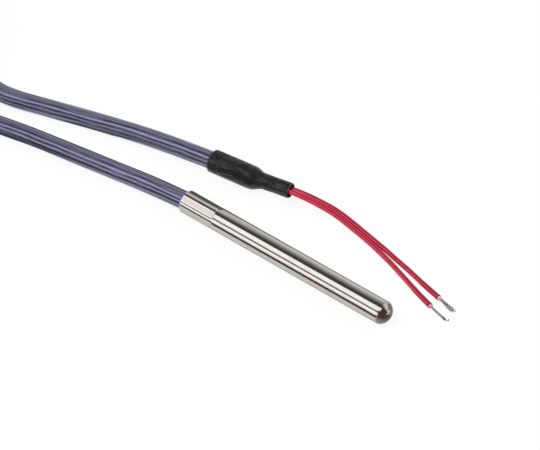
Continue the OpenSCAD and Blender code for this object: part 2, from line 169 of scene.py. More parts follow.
def hank_place(quarters):
    """Radius of the fold, and height over the lowest row, after that many quarter runs."""
    for (q0, column0, row0), (q1, column1, row1) in zip(HANK_PLACES, HANK_PLACES[1:]):
        if quarters <= q1:
            u = (quarters - q0) / (q1 - q0)
            share = (3 - 2 * u) * u ** 2
            column, row = column0 + (column1 - column0) * share, row0 + (row1 - row0) * share
            return INNER_R + TURN_PITCH * column, TURN_PITCH * row
    raise ValueError("past the end of the hank")


def hank_point(quarters):
    """Clockwise: a side towards -X, the far fold, the side back and the near fold."""
    radius, height = hank_place(quarters)
    quarter, share = int(quarters) % 4, quarters % 1
    if quarter == 0:
        spot = Vector((-HANK_SIDE_L * share, -radius, height))
    elif quarter == 2:
        spot = Vector((-HANK_SIDE_L * (1 - share), radius, height))
    else:
        start, middle_x = (-90, -HANK_SIDE_L) if quarter == 1 else (90, 0)
        a = math.radians(start - 180 * share)
        spot = Vector((middle_x + radius * math.cos(a), radius * math.sin(a), height))
    return HANK_MIDDLE + spot


def hank_route(parts=12):
    """The cable's runs in the hank, with `parts` points to each side and each fold."""
    count = round(HANK_PLACES[-1][0] * parts)
    return [hank_point(i / parts) for i in range(count + 1)]


def cable_points():
    """The whole cable, from its end in the sheath to its end in the sleeve."""
    hank = hank_route()
    before = hank[0] + Vector((HANK_LEAD, 0, 0))
    after = hank[-1] + HANK_LEAD * (hank[-1] - hank[-2]).normalized()
    return to_frame([*PROBE_ROUTE, before, *hank, after, *reversed(TAIL_ROUTE)])


def wire_points(route, side):
    """A wire, from the cable's end in the sleeve to the end of its insulation."""
    from_middle, straight_l = 0.73, 1.64
    end, before = (Vector(p) for p in TAIL_ROUTE[:2])
    way = (end - before).normalized()
    left = Vector((-way.y, way.x, 0)).normalized()
    start = end + side * from_middle * left
    return to_frame([start, start + straight_l * way, *route])


# ---- Mesh building --------------------------------------------------------------------------

def link(name, mesh):
    piece = bpy.data.objects.new(name, mesh)
    bpy.context.scene.collection.objects.link(piece)
    return piece


def frames_along(points):
    """For each point: the direction of travel, level left of it, and square to both."""
    last = len(points) - 1
    frames = []
    for i in range(last + 1):
        way = (points[min(i + 1, last)] - points[max(i - 1, 0)]).normalized()
        left = Vector((0, 0, 1)).cross(way).normalized()
        frames.append((way, left, way.cross(left)))
    return frames


def outward(angle, left, up):
    """The way out from a tube's middle line, at an angle that is 0 straight down."""
    return math.sin(angle) * left - math.cos(angle) * up


def ring_mesh(name, rings, closed=False, lengths=None):
    """A skin over rings of points, with a UV map: turns around, and metres along."""
    mesh = bmesh.new()
    uv = mesh.loops.layers.uv.new("UVMap")
    rows = [[mesh.verts.new(p) for p in ring] for ring in rings]
    sides = len(rings[0])
    if closed:
        rows.append(rows[0])
    lengths = lengths or [0.0] * len(rows)
    for j in range(len(rows) - 1):
        for k in range(sides):
            n = (k + 1) % sides
            face = mesh.faces.new((rows[j][k], rows[j][n], rows[j + 1][n], rows[j + 1][k]))
            face.smooth = True
            corners = ((k, j), (k + 1, j), (k + 1, j + 1), (k, j + 1))
            for loop, (around, along) in zip(face.loops, corners):
                loop[uv].uv = (around / sides, lengths[along])
    if not closed:
        mesh.faces.new(reversed(rows[0]))
        mesh.faces.new(rows[-1])
    bmesh.ops.recalc_face_normals(mesh, faces=mesh.faces)
    data = bpy.data.meshes.new(name)
    mesh.to_mesh(data)
    mesh.free()
    return link(name, data)


def tube(name, points, radius, sides):
    """A round tube along points. radius is a number, or a function of metres along and turns."""
    along = [0.0]
    for a, b in zip(points, points[1:]):
        along.append(along[-1] + (b - a).length)
    rings = []
    for point, (_, left, up), distance in zip(points, frames_along(points), along):
        ring = []
        for k in range(sides):
            turn = k / sides
            r = radius(distance, turn) if callable(radius) else radius
            ring.append(point + r * outward(math.tau * turn, left, up))
        rings.append(ring)
    return ring_mesh(name, rings, lengths=along)


# ---- Materials ------------------------------------------------------------------------------

class Finish:
    """A node material round one Principled shader. Plain numbers go on the shader's own sockets."""

    def __init__(self, name, **sockets):
        self.material = bpy.data.materials.new(name)
        self.material.use_nodes = True
        self.nodes = self.material.node_tree.nodes
        self.links = self.material.node_tree.links
        self.shader = self.nodes["Principled BSDF"]
        for socket, value in sockets.items():
            self.shader.inputs[socket.replace("_", " ")].default_value = value

    def node(self, kind, inputs=None, **settings):
        made = self.nodes.new(kind)
        for key, value in settings.items():
            setattr(made, key, value)
        for key, value in (inputs or {}).items():
            if isinstance(value, bpy.types.NodeSocket):
                self.links.new(value, made.inputs[key])
            else:
                made.inputs[key].default_value = value
        return made

    def place(self, stretch=(1, 1, 1), source="Object"):
        """Coordinates in metres, or turns and metres with source UV, stretched per axis."""
        coords = self.node("ShaderNodeTexCoord")
        mapping = self.node("ShaderNodeMapping", {"Vector": coords.outputs[source]})
        mapping.inputs["Scale"].default_value = stretch
        return mapping.outputs["Vector"]

    def noise(self, where, scale, detail=3.0, roughness=0.5):
        made = self.node("ShaderNodeTexNoise", {
            "Vector": where, "Scale": scale, "Detail": detail, "Roughness": roughness})
        return made.outputs["Fac"]

    def ramp(self, value, *stops):
        """Stops are (position, colour)."""
        made = self.node("ShaderNodeValToRGB", {"Fac": value})
        elements = made.color_ramp.elements
        while len(elements) < len(stops):
            elements.new(0.5)
        for element, (position, colour) in zip(elements, stops):
            element.position = position
            element.color = (*colour, 1)
        return made.outputs["Color"]

    def mix(self, share, first, second):
        """The first colour at share 0 and the second at 1."""
        colour_a, colour_b, mixed = 6, 7, 2  # the node's sockets for colours
        made = self.node(
            "ShaderNodeMix", {"Factor": share, colour_a: first, colour_b: second}, data_type="RGBA")
        return made.outputs[mixed]

    def spread(self, value, low, high, from_low=0.3, from_high=0.7):
        """A noise value, spread over low to high."""
        made = self.node("ShaderNodeMapRange", {
            "Value": value, "From Min": from_low, "From Max": from_high,
            "To Min": low, "To Max": high})
        return made.outputs["Result"]

    def math(self, operation, a, b=0.0):
        made = self.node("ShaderNodeMath", {0: a, 1: b}, operation=operation)
        return made.outputs["Value"]

    def bump(self, height, distance, strength=1.0, normal=None):
        inputs = {"Height": height, "Distance": distance, "Strength": strength}
        if normal is not None:
            inputs["Normal"] = normal
        return self.node("ShaderNodeBump", inputs).outputs["Normal"]

    def between(self, value, start, end):
        """0 on the start's side and 1 on the end's, with an even change from one to the other."""
        made = self.node("ShaderNodeMapRange", {"Value": value, "From Min": start, "From Max": end})
        return made.outputs["Result"]

    def use(self, **sources):
        for socket, source in sources.items():
            self.links.new(source, self.shader.inputs[socket.replace("_", " ")])
        return self.material


def steel_finish():
    """Stainless tube, polished along its length, grained by the crimp's jaws, lined at the dome."""
    f = Finish("sheath_steel", Metallic=1.0)
    unpressed_r, pressed_r = SHEATH_R - 0.11 * MM, SHEATH_R - 0.14 * MM
    seam_edge, seam_core = 0.2 * MM, 0.1 * MM
    drawn = f.noise(f.place((60, 9000, 9000)), 1.0, 4.0, 0.6)
    grain = f.noise(f.place(), 2600.0, 3.0, 0.6)
    clouds = f.noise(f.place(), 350.0, 3.0)
    split = f.node("ShaderNodeSeparateXYZ", {"Vector": f.place()})
    height = f.math("SUBTRACT", split.outputs["Z"], AXIS_Z)
    height_squared = f.math("MULTIPLY", height, height)
    side_squared = f.math("MULTIPLY", split.outputs["Y"], split.outputs["Y"])
    from_axis = f.math("SQRT", f.math("ADD", height_squared, side_squared))
    pressed = f.between(from_axis, unpressed_r, pressed_r)
    mouth_half = f.between(split.outputs["X"], 0.0, -1.0 * MM)
    crimped = f.math("MULTIPLY", pressed, mouth_half)
    dome_start = TIP_X - sheath_profile()["rise"] * MM
    from_seam = f.math("ABSOLUTE", f.math("SUBTRACT", split.outputs["X"], dome_start))
    seam = f.between(from_seam, seam_edge, seam_core)
    marks = f.math("ADD", f.math("MULTIPLY", crimped, f.spread(grain, 0.4, 0.9)), seam)
    shade = f.math("SUBTRACT", clouds, marks)
    colour = f.ramp(
        shade, (0.0, (0.54, 0.495, 0.475)), (0.3, (0.61, 0.572, 0.538)),
        (0.7, (0.67, 0.64, 0.61)))
    roughness = f.math("ADD", f.spread(drawn, 0.07, 0.15), f.math("MULTIPLY", crimped, 0.04))
    jaw_marks = f.bump(f.math("MULTIPLY", crimped, grain), 0.01 * MM, 0.6)
    normal = f.bump(drawn, 0.002 * MM, 0.5, jaw_marks)
    return f.use(Base_Color=colour, Roughness=roughness, Normal=normal)


def jacket_finish():
    """Clear blue-grey jacket over bundles of silvery strands, seen as one surface."""
    f = Finish("cable_jacket", Metallic=0.5, IOR=1.5, Coat_Roughness=0.05, Coat_IOR=1.75)
    bundles, wave_turns = 14, 20
    where = f.place((bundles * math.tau / wave_turns, 100, 1), "UV")
    waves = f.node(
        "ShaderNodeTexWave", {"Vector": where, "Scale": 1.0, "Distortion": 3.4, "Detail": 2.0},
        wave_type="BANDS", bands_direction="X", wave_profile="SIN")
    strands = waves.outputs["Fac"]
    clouds = f.noise(f.place(), 220.0, 3.0)
    blend = f.math("ADD", f.math("MULTIPLY", strands, 0.6), f.math("MULTIPLY", clouds, 0.4))
    colour = f.ramp(blend, (0.2, (0.06, 0.06, 0.11)), (0.75, (0.15, 0.15, 0.265)))
    coat = f.spread(strands, 0.1, 1.0, 0.3, 0.9)
    roughness = f.spread(clouds, 0.16, 0.24)
    normal = f.bump(strands, 0.03 * MM, 1.0)
    return f.use(Base_Color=colour, Roughness=roughness, Coat_Weight=coat, Normal=normal,
                 Coat_Normal=normal)


def wire_finish():
    """Red insulation with a waxy gloss."""
    f = Finish("red_insulation", Metallic=0.5, Coat_Weight=0.9, Coat_Roughness=0.06)
    grain = f.noise(f.place((8, 300, 1), "UV"), 1.0, 3.0)
    streaks = f.noise(f.place((5, 60, 1), "UV"), 1.0, 3.0)
    colour = f.ramp(streaks, (0.35, (0.36, 0.004, 0.03)), (0.65, (0.72, 0.012, 0.07)))
    roughness = f.spread(grain, 0.16, 0.26)
    normal = f.bump(grain, 0.015 * MM, 0.6)
    return f.use(Base_Color=colour, Roughness=roughness, Normal=normal, Coat_Normal=normal)


def sleeve_finish():
    """Black shrunk tubing, slightly uneven, with a painted pinkish-grey highlight at the top of the
    wires' mouth.
    """
    f = Finish("black_sleeve", Specular_IOR_Level=0.42)
    mouth, mouth_highlight_colour = to_frame(SLEEVE_ROUTE)[-1], (0.3, 0.2, 0.22, 1)
    highlight_fade_r, highlight_full_r, low_edge, high_edge = 1.95 * MM, 1.75 * MM, 0.5 * MM, 1.1 * MM
    from_mouth = f.node("ShaderNodeVectorMath", {0: f.place(), 1: mouth}, operation="DISTANCE")
    split = f.node("ShaderNodeSeparateXYZ", {"Vector": f.place()})
    above = f.between(split.outputs["Z"], mouth.z + low_edge, mouth.z + high_edge)
    inside = f.between(from_mouth.outputs["Value"], highlight_fade_r, highlight_full_r)
    dimples = f.noise(f.place(), 1300.0, 3.0, 0.55)
    dents = f.noise(f.place((1, 1.6, 1.6)), 330.0, 2.0)
    patches = f.noise(f.place((0.6, 1.5, 1.5)), 520.0, 3.0, 0.6)
    black = f.ramp(
        patches, (0.36, (0.003, 0.0026, 0.0036)), (0.5, (0.0085, 0.007, 0.009)),
        (0.64, (0.018, 0.0145, 0.018)))
    # Painted highlight: the upper rim and inside of the mouth turn pinkish grey, as where light
    # catches them
    colour = f.mix(f.math("MULTIPLY", above, inside), black, mouth_highlight_colour)
    roughness = f.spread(patches, 0.5, 0.3, 0.36, 0.64)
    rough_skin = f.bump(f.spread(dimples, 0.0, 1.0), 0.04 * MM, 1.0)
    normal = f.bump(f.spread(dents, 0.0, 1.0), 0.28 * MM, 1.0, rough_skin)
    return f.use(Base_Color=colour, Roughness=roughness, Normal=normal)


def fibre_finish():
    """Cream-coloured fibres, with painted shade where they are darker between the threads."""
    f = Finish("fray_fibre")
    threads = f.noise(f.place(), 5000.0, 3.0, 0.6)
    # The ramp's darker end is painted shade between the threads
    colour = f.ramp(threads, (0.35, (0.5, 0.41, 0.3)), (0.6, (0.86, 0.8, 0.68)))
    roughness = f.spread(threads, 0.7, 0.9)
    normal = f.bump(threads, 0.04 * MM, 0.8)
    return f.use(Base_Color=colour, Roughness=roughness, Normal=normal)


def tie_finish():
    """White woven tape."""
    f = Finish("tie_band")
    weave = f.node("ShaderNodeTexChecker", {"Vector": f.place(), "Scale": 2500.0})
    fuzz = f.noise(f.place(), 1500.0, 3.0)
    colour = f.ramp(fuzz, (0.3, (0.74, 0.74, 0.71)), (0.7, (0.82, 0.82, 0.8)))
    roughness = f.spread(fuzz, 0.75, 0.9)
    furry = f.bump(fuzz, 0.05 * MM, 0.5)
    normal = f.bump(weave.outputs["Fac"], 0.06 * MM, 0.6, furry)
    return f.use(Base_Color=colour, Roughness=roughness, Normal=normal)


def strand_finish(node, *stops):
    """Bare tinned strands of a CAD node, tarnished along their length by the stops given."""
    low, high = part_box(node)
    f = Finish(node + "_metal", Metallic=0.7)
    split = f.node("ShaderNodeSeparateXYZ", {"Vector": f.place()})
    along = f.between(split.outputs["X"], low.x, high.x)
    grain = f.noise(f.place(), 4000.0, 3.0, 0.6)
    mixed = f.math("ADD", along, f.spread(grain, -0.15, 0.15))
    colour = f.ramp(mixed, *stops)
    roughness = f.spread(grain, 0.3, 0.5)
    normal = f.bump(grain, 0.01 * MM, 0.5)
    return f.use(Base_Color=colour, Roughness=roughness, Normal=normal)


def plain_finish(name, colour, spread, grain_mm, roughness, grain_depth_mm, **sockets):
    """A material with a grain of the given size, for the pieces inside the probe."""
    f = Finish(name, **sockets)
    grain = f.noise(f.place(), 1 / (grain_mm * MM), 4.0, 0.6)
    low = tuple(c * (1 - spread) for c in colour)
    high = tuple(min(1.0, c * (1 + spread)) for c in colour)
    return f.use(
        Base_Color=f.ramp(grain, (0.3, low), (0.7, high)),
        Roughness=f.spread(grain, *roughness),
        Normal=f.bump(grain, grain_depth_mm * MM, 0.5),
    )


# Slot: colour, its spread, grain size in mm, roughness from and to, grain depth in mm, metallic
INNER_FINISHES = {
    "ceramic_chip": ((0.86, 0.85, 0.81), 0.03, 0.15, (0.5, 0.65), 0.01, 0.0),
    "film_glass": ((0.12, 0.18, 0.34), 0.15, 0.4, (0.08, 0.2), 0.004, 0.0),
    "lead_wire": ((0.72, 0.72, 0.74), 0.05, 0.2, (0.15, 0.3), 0.003, 1.0),
    "white_tube": ((0.82, 0.82, 0.79), 0.03, 0.5, (0.35, 0.5), 0.005, 0.0),
    "cement": ((0.6, 0.56, 0.48), 0.18, 0.3, (0.75, 0.95), 0.06, 0.0),
    "ferrule_brass": ((0.72, 0.52, 0.24), 0.08, 0.3, (0.2, 0.35), 0.004, 1.0),
    "amber_tube": ((0.52, 0.2, 0.03), 0.15, 0.6, (0.12, 0.25), 0.004, 0.0),
    "tinned_copper": ((0.5, 0.48, 0.47), 0.14, 0.12, (0.25, 0.45), 0.006, 1.0),
    "dark_resin": ((0.02, 0.02, 0.023), 0.3, 0.5, (0.25, 0.45), 0.02, 0.0),
}


# ---- Pieces ---------------------------------------------------------------------------------

def finish_piece(piece, material, replaced):
    """Gives a new piece its material and its body, and hides the CAD nodes it stands for."""
    piece.data.materials.append(material)
    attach(piece, "root")
    if replaced:
        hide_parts(*replaced)
    return piece


def sheath_profile():
    """The sheath's sizes in millimetres. They repeat the CAD part's, but for the crimp's finish.

    Its flats lie a little deeper, reach 0.35 mm further and are turned 2.5 degrees more, and the
    edges between them are rounded.
    """
    return {
        "r": SHEATH_R / MM, "length": (TIP_X - MOUTH_X) / MM, "wall": 0.4, "rise": 2.1,
        "tip_wall": 0.8, "flat": SHEATH_R / MM - 0.17, "corner": 1.85, "crimp": 10.15,
        "turn": 6.5, "jaw": 3.0, "sharp_jaw": 0.4,
    }


def hexagon_radius(height, corner, off):
    """Radius of a hexagon with rounded corners, at the angle off from the middle of a flat."""
    half = math.tau / 12
    middle = (height - corner) / math.cos(half)
    flat_end = math.atan2((height - corner) * math.tan(half), height)
    if abs(off) <= flat_end:
        return height / math.cos(off)
    rest = half - abs(off)
    return middle * math.cos(rest) + math.sqrt(corner ** 2 - (middle * math.sin(rest)) ** 2)


def crimped_radius(size, x, angle, grow):
    """Radius at x from the mouth and an angle about the axis; grow is the wall for the inside."""
    radius = size["r"] - grow
    sharp_flat = 2
    for k in range(6):
        off = (angle - size["turn"] - 60 * k + 180) % 360 - 180
        if abs(off) > 30:
            continue
        edge = (size["sharp_jaw"] if k == sharp_flat else size["jaw"]) + grow
        past = x - size["crimp"]
        height = size["flat"] - grow
        if past > 0:
            height += edge - math.sqrt(max(0.0, edge ** 2 - min(past, edge) ** 2))
        radius = min(radius, hexagon_radius(height, size["corner"] - grow, math.radians(off)))
    return radius


def sheath_spot(x, r, angle):
    """A point x from the mouth and r from the sheath's axis, both in millimetres."""
    a = math.radians(angle)
    return Vector((MOUTH_X + x * MM, r * math.cos(a) * MM, AXIS_Z + r * math.sin(a) * MM))


def tube_rings(size, angles, grow, dome_x):
    """Rings from the mouth, with its rounded lip, past the crimp to the groove by the dome.

    They lie close together at the lip, at the jaws' run-out and at the groove.
    """
    crimp, lip = size["crimp"], 0.14
    groove_x, groove_depth = dome_x - 0.15, 0.03
    jaw_step, jaw_steps = 0.025, 41
    stations = [0.0, 0.02, 0.06, 0.1, lip, 0.3, 3, 6, crimp - 0.2, crimp - 0.05]
    stations += [crimp + jaw_step * i for i in range(jaw_steps)]
    stations += [crimp + 1.2, crimp + 3, 20, 35, 50, 60]
    stations += [dome_x - 0.3, groove_x, dome_x - 0.01]
    side = -1 if grow else 1
    rings = []
    for x in stations:
        rounding = lip - math.sqrt(max(0.0, lip ** 2 - (lip - x) ** 2)) if x < lip else 0.0
        if x == groove_x and not grow:
            rounding = groove_depth
        rings.append([
            sheath_spot(x, crimped_radius(size, x, angle, grow) - side * rounding, angle)
            for angle in angles])
    return rings


def dome_rings(radius, rise, angles, end):
    """Rings of the ball's cap that closes the sheath, from its rim to its pole."""
    ball = (radius ** 2 + rise ** 2) / (2 * rise)
    widest = math.asin(radius / ball)
    steps, rim_gap, pole_share = 22, 0.004, 0.02
    rings = []
    for i in range(steps):
        tilt = widest * (1 - i / steps) - (rim_gap if i == 0 else 0)
        x = end - ball + ball * math.cos(tilt)
        rings.append([sheath_spot(x, ball * math.sin(tilt), angle) for angle in angles])
    pole = sheath_spot(end, 0, 0)
    rings.append([pole + (p - pole) * pole_share for p in rings[-1]])
    return rings


def sheath_rings(size, sides, grow):
    """Rings from the mouth to the pole of the dome, outside (grow 0) or inside (grow = wall)."""
    radius = size["r"] - grow
    end = size["length"] - (size["tip_wall"] if grow else 0)
    rise = size["rise"] * radius / size["r"]
    angles = [360 * k / sides for k in range(sides)]
    tube_part = tube_rings(size, angles, grow, end - rise)
    return [*tube_part, *dome_rings(radius, rise, angles, end)]


def make_sheath():
    """The thin-walled tube with its domed tip and the crimp's six pressed flats."""
    size, sides = sheath_profile(), 360
    outside = sheath_rings(size, sides, 0.0)
    inside = sheath_rings(size, sides, size["wall"])
    rings = [*reversed(outside), *inside]
    lengths = [ring[0].x for ring in rings]
    piece = ring_mesh("sheath_tube", rings, lengths=lengths)
    return finish_piece(piece, steel_finish(), ["sheath"])


def cable_radius(along, turn):
    """The jacket's radius, with the slight waves that the strands press into it."""
    wave_depth, wave_around, wave_along = 0.06 * MM, 2.2, 55
    ripple_depth, ripple_around, ripple_along, ripple_shift = 0.015 * MM, 5.0, 90, 40
    angle = math.tau * turn
    around = Vector((math.cos(angle), math.sin(angle), 0))
    wave_spot = wave_around * around + Vector((0, 0, along * wave_along))
    ripple_spot = ripple_around * around + Vector((0, 0, along * ripple_along + ripple_shift))
    wave, ripple = noise.noise(wave_spot), noise.noise(ripple_spot)
    return CABLE_R + wave_depth * (wave - 1) + ripple_depth * ripple


def make_cable():
    points = smoothed(spline(cable_points(), step=1.0 * MM), passes=8)
    piece = tube("cable", points, cable_radius, sides=40)
    runs = ["cable_run_probe", "cable_hank", "cable_run_tail"]
    finish_piece(piece, jacket_finish(), runs)
    return piece, points


def make_wire(name, route, side, material, node):
    points = smoothed(spline(wire_points(route, side), step=0.4 * MM), passes=8)
    piece = tube(name, points, WIRE_R, sides=24)
    finish_piece(piece, material, [node])
    return piece, points


def make_fray(name, points, reach):
    """The pale fibres under a wire's insulation, which fray out where the wire is stripped."""
    end = points[-1]
    way, left, up = frames_along(points)[-1]
    sides, steps, tufts, noise_row = 40, 6, 4, reach * 900
    fibre_r, wall, hidden, opening = 0.5 * MM, 0.12 * MM, 0.2 * MM, 0.22 * MM
    usual_share, ragged_share, thinning, coarser, inwards = 0.65, 1.2, 0.7, 0.6, 0.1
    outer, inner = [], []
    for step in range(steps):
        share = step / (steps - 1)
        thick = wall * (1 - thinning * share)
        outside, inside = [], []
        for k in range(sides):
            angle = math.tau * k / sides
            spot = Vector((math.cos(angle) * tufts, math.sin(angle) * tufts, noise_row))
            length = reach * (usual_share + ragged_share * noise.noise(spot))
            splay = opening * (noise.noise(spot * coarser) - inwards) * share ** 2
            middle = end + way * (length * share - hidden * (1 - share))
            side = outward(angle, left, up)
            outside.append(middle + side * (fibre_r + splay))
            inside.append(middle + side * (fibre_r + splay - thick))
        outer.append(outside)
        inner.append(inside)
    piece = ring_mesh(name, [*outer, *reversed(inner)], closed=True)
    return finish_piece(piece, fibre_finish(), [])


def neck_share(x):
    """0 where the sleeve lies on the cable at x, 1 on the wires, and between on its shoulder."""
    xs = [p.x for p in to_frame(SLEEVE_ROUTE)]
    shares = [p[3] for p in SLEEVE_ROUTE]
    for x0, x1, s0, s1 in zip(xs, xs[1:], shares, shares[1:]):
        if x <= x1:
            return s0 + (s1 - s0) * max(0.0, (x - x0) / (x1 - x0))
    return shares[-1]


def sleeve_ring(point, left, up, radius, unevenness):
    """One ring of the sleeve, pressed in a little here and there by up to twice the unevenness."""
    sides, along_scale, around_scale = 64, 400, 1.2
    ring = []
    for k in range(sides):
        angle = math.tau * k / sides
        spot = Vector((
            point.x * along_scale, math.cos(angle) * around_scale, math.sin(angle) * around_scale))
        r = radius + unevenness * (noise.noise(spot) - 1)
        ring.append(point + r * outward(angle, left, up))
    return ring


def make_sleeve():
    """Shrunk tubing: wide over the cable, narrow over the wires, with a slightly uneven wall.

    It ends one step of its route before the CAD sleeve does.
    """
    points = spline(to_frame(SLEEVE_ROUTE), step=0.3 * MM)[:-1]
    first, last, lip, unevenness = points[0], points[-1], 0.22 * MM, 0.03 * MM
    wide_r, neck_r, wide_bore_r, neck_bore_r = 3.04, 2.03, 2.44, 1.61
    outer, inner = [], []
    for point, (_, left, up) in zip(points, frames_along(points)):
        share = neck_share(point.x)
        from_end = min((point - first).length, (point - last).length)
        inset = max(0.0, lip - from_end)
        fall = lip - math.sqrt(max(0.0, lip ** 2 - inset ** 2))
        skin_r = ((1 - share) * wide_r + share * neck_r) * MM - fall
        bore_r = ((1 - share) * wide_bore_r + share * neck_bore_r) * MM + fall
        outer.append(sleeve_ring(point, left, up, skin_r, unevenness))
        inner.append(sleeve_ring(point, left, up, bore_r, 0.0))
    piece = ring_mesh("shrink_sleeve", [*outer, *reversed(inner)], closed=True)
    return finish_piece(piece, sleeve_finish(), ["tail_sleeve"])


def make_tie(name, node):
    """A woven band, pulled round the six runs of one side of the hank."""
    low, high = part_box(node)
    middle, half = (low + high) / 2, (high - low) / 2
    thickness, corner_r, edge = 0.6 * MM, 2.9 * MM, 0.15 * MM
    corners = ((1, 1, 0), (-1, 1, 90), (-1, -1, 180), (1, -1, 270))
    steps = 10

    def ring(x, inset):
        points = []
        for sy, sz, start in corners:
            for i in range(steps + 1):
                a = math.radians(start + 90 * i / steps)
                points.append(Vector((
                    x,
                    middle.y + sy * (half.y - corner_r) + (corner_r - inset) * math.cos(a),
                    middle.z + sz * (half.z - corner_r) + (corner_r - inset) * math.sin(a),
                )))
        return points

    rings = [
        ring(low.x + edge, 0), ring(high.x - edge, 0), ring(high.x, edge),
        ring(high.x, thickness - edge), ring(high.x - edge, thickness),
        ring(low.x + edge, thickness), ring(low.x, thickness - edge), ring(low.x, edge),
    ]
    piece = ring_mesh(name, rings, closed=True)
    return finish_piece(piece, tie_finish(), [node])


def dress_inner_nodes():
    """Every CAD node that stays gets the procedural material of its slot."""
    finishes = {
        slot: plain_finish(slot, colour, spread, grain, rough, depth, Metallic=metallic)
        for slot, (colour, spread, grain, rough, depth, metallic) in INNER_FINISHES.items()
    }
    by_node = {
        "sensor_chip": "ceramic_chip", "sensor_glaze": "film_glass", "sensor_bead": "film_glass",
        "sensor_lead_a": "lead_wire", "sensor_lead_b": "lead_wire",
        "lead_sleeve_a": "white_tube", "lead_sleeve_b": "white_tube", "tip_cement": "cement",
        "splice_a": "ferrule_brass", "splice_b": "ferrule_brass",
        "splice_sleeve_a": "amber_tube", "splice_sleeve_b": "amber_tube",
        "probe_core_a": "tinned_copper", "probe_core_b": "tinned_copper",
        "probe_seal": "dark_resin", "probe_screen_end": "tinned_copper",
        "tail_screen_end": "tinned_copper", "tail_strands_a": "fan", "tail_strands_b": "bundle",
        "probe_wire_a": "red_wire", "probe_wire_b": "red_wire",
    }
    cut, tin = (0.7, 0.62, 0.5), (0.45, 0.42, 0.41)
    tarnish, soot = (0.31, 0.235, 0.26), (0.07, 0.065, 0.065)
    finishes["fan"] = strand_finish(
        "tail_strands_a", (0.0, cut), (0.15, tin), (0.4, tarnish), (0.7, tarnish), (0.9, soot))
    finishes["bundle"] = strand_finish(
        "tail_strands_b", (0.0, cut), (0.15, tin), (0.7, tin), (0.85, soot))
    red = finishes["red_wire"] = wire_finish()
    for name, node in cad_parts.items():
        material = finishes.get(by_node.get(name))
        if material is None:
            continue
        node.data.materials.clear()
        node.data.materials.append(material)
    return red


# ---- Studio ---------------------------------------------------------------------------------

# The curved strips' distance from the sheath's axis, their strongest light and the one at the
# tip, and the colours of strips and cards
PANEL_R, PANEL_GLOW, TIP_GLOW = 0.6, 1.4, 1.38
OLIVE = (0.30, 0.26, 0.2)
BEIGE = (0.84, 0.78, 0.66)
BROWN = (0.085, 0.06, 0.052)
GREY, DARK_GREY, SOOT = (0.45, 0.42, 0.38), (0.13, 0.115, 0.11), (0.066, 0.058, 0.051)


def only_seen_by(piece, **rays):
    for ray in ("camera", "diffuse", "glossy", "transmission", "shadow", "volume_scatter"):
        setattr(piece, "visible_" + ray, rays.get(ray, False))


def background_share(nodes, links):
    """1 for rays from the camera, and for those that metal and glass reflect or let through."""
    path = nodes.new("ShaderNodeLightPath")
    total = path.outputs["Is Camera Ray"]
    for name in ("Is Glossy Ray", "Is Transmission Ray"):
        larger = nodes.new("ShaderNodeMath")
        larger.operation = "MAXIMUM"
        links.new(total, larger.inputs[0])
        links.new(path.outputs[name], larger.inputs[1])
        total = larger.outputs["Value"]
    return total


def add_world():
    """A white background. It lights matt surfaces less than it shows itself."""
    ambient_level, seen_level = 0.45, 1.0
    world = bpy.data.worlds.new("studio")
    bpy.context.scene.world = world
    world.use_nodes = True
    nodes, links = world.node_tree.nodes, world.node_tree.links
    nodes.clear()
    ambient, white = (nodes.new("ShaderNodeBackground") for _ in range(2))
    ambient.inputs["Color"].default_value = (1, 1, 1, 1)
    ambient.inputs["Strength"].default_value = ambient_level
    white.inputs["Color"].default_value = (1, 1, 1, 1)
    white.inputs["Strength"].default_value = seen_level
    mix = nodes.new("ShaderNodeMixShader")
    links.new(background_share(nodes, links), mix.inputs["Fac"])
    links.new(ambient.outputs["Background"], mix.inputs[1])
    links.new(white.outputs["Background"], mix.inputs[2])
    output = nodes.new("ShaderNodeOutputWorld")
    links.new(mix.outputs["Shader"], output.inputs["Surface"])


def add_floor():
    """A plain white floor. Most of its white is its own, so that only soft shadows stay on it."""
    below, own_white = 0.1 * MM, 0.9
    bpy.ops.mesh.primitive_plane_add(size=6.0, location=(0, 0, -below))
    floor = bpy.context.object
    floor.name = "floor"
    material = bpy.data.materials.new("floor_white")
    material.use_nodes = True
    nodes, links = material.node_tree.nodes, material.node_tree.links
    nodes.clear()
    paint, glow = nodes.new("ShaderNodeBsdfDiffuse"), nodes.new("ShaderNodeEmission")
    paint.inputs["Color"].default_value = (0.85, 0.85, 0.85, 1)
    glow.inputs["Strength"].default_value = 1.0
    share = nodes.new("ShaderNodeMath")
    share.operation = "MULTIPLY"
    share.inputs[1].default_value = own_white
    links.new(background_share(nodes, links), share.inputs[0])
    mix = nodes.new("ShaderNodeMixShader")
    links.new(share.outputs["Value"], mix.inputs["Fac"])
    links.new(paint.outputs["BSDF"], mix.inputs[1])
    links.new(glow.outputs["Emission"], mix.inputs[2])
    output = nodes.new("ShaderNodeOutputMaterial")
    links.new(mix.outputs["Shader"], output.inputs["Surface"])
    floor.data.materials.append(material)


def glow_finish(name, stops):
    """Own light that changes along the UV map's V. Stops are (share of the way, level or colour)."""
    material = bpy.data.materials.new(name)
    material.use_nodes = True
    nodes, links = material.node_tree.nodes, material.node_tree.links
    nodes.clear()
    coords, split = nodes.new("ShaderNodeTexCoord"), nodes.new("ShaderNodeSeparateXYZ")
    ramp, glow = nodes.new("ShaderNodeValToRGB"), nodes.new("ShaderNodeEmission")
    elements = ramp.color_ramp.elements
    while len(elements) < len(stops):
        elements.new(0.5)
    for element, (share, level) in zip(elements, stops):
        colour = level if isinstance(level, tuple) else (level, level, level)
        element.position = share
        element.color = (*(c / PANEL_GLOW for c in colour), 1)
    glow.inputs["Strength"].default_value = PANEL_GLOW
    output = nodes.new("ShaderNodeOutputMaterial")
    links.new(coords.outputs["UV"], split.inputs["Vector"])
    links.new(split.outputs["Y"], ramp.inputs["Fac"])
    links.new(ramp.outputs["Color"], glow.inputs["Color"])
    links.new(glow.outputs["Emission"], output.inputs["Surface"])
    return material


